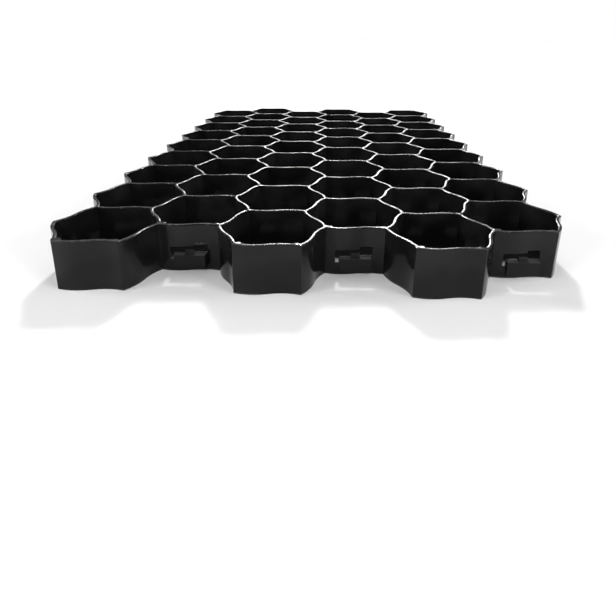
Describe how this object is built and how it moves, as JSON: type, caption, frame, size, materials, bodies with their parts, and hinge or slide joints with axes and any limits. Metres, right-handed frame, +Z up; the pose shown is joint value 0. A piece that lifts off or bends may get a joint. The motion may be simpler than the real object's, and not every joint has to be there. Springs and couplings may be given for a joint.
{
  "type": "grass paver grid",
  "caption": "Black moulded plastic honeycomb grass paver grid with wavy walls, joining tongues on one short side and windows on the other.",
  "frame": {"origin": "centre of the overall box in plan, at the underside that rests on the ground", "axes": "+Y along the long side, away from the joining tongues; +X across; +Z up, out of the open cells' top"},
  "size_m": [0.4002, 0.7183, 0.038],
  "materials": {
    "plastic": "satin black"
  },
  "bodies": {
    "root": {"paver_grid": "plastic"}
  },
  "joints": []
}
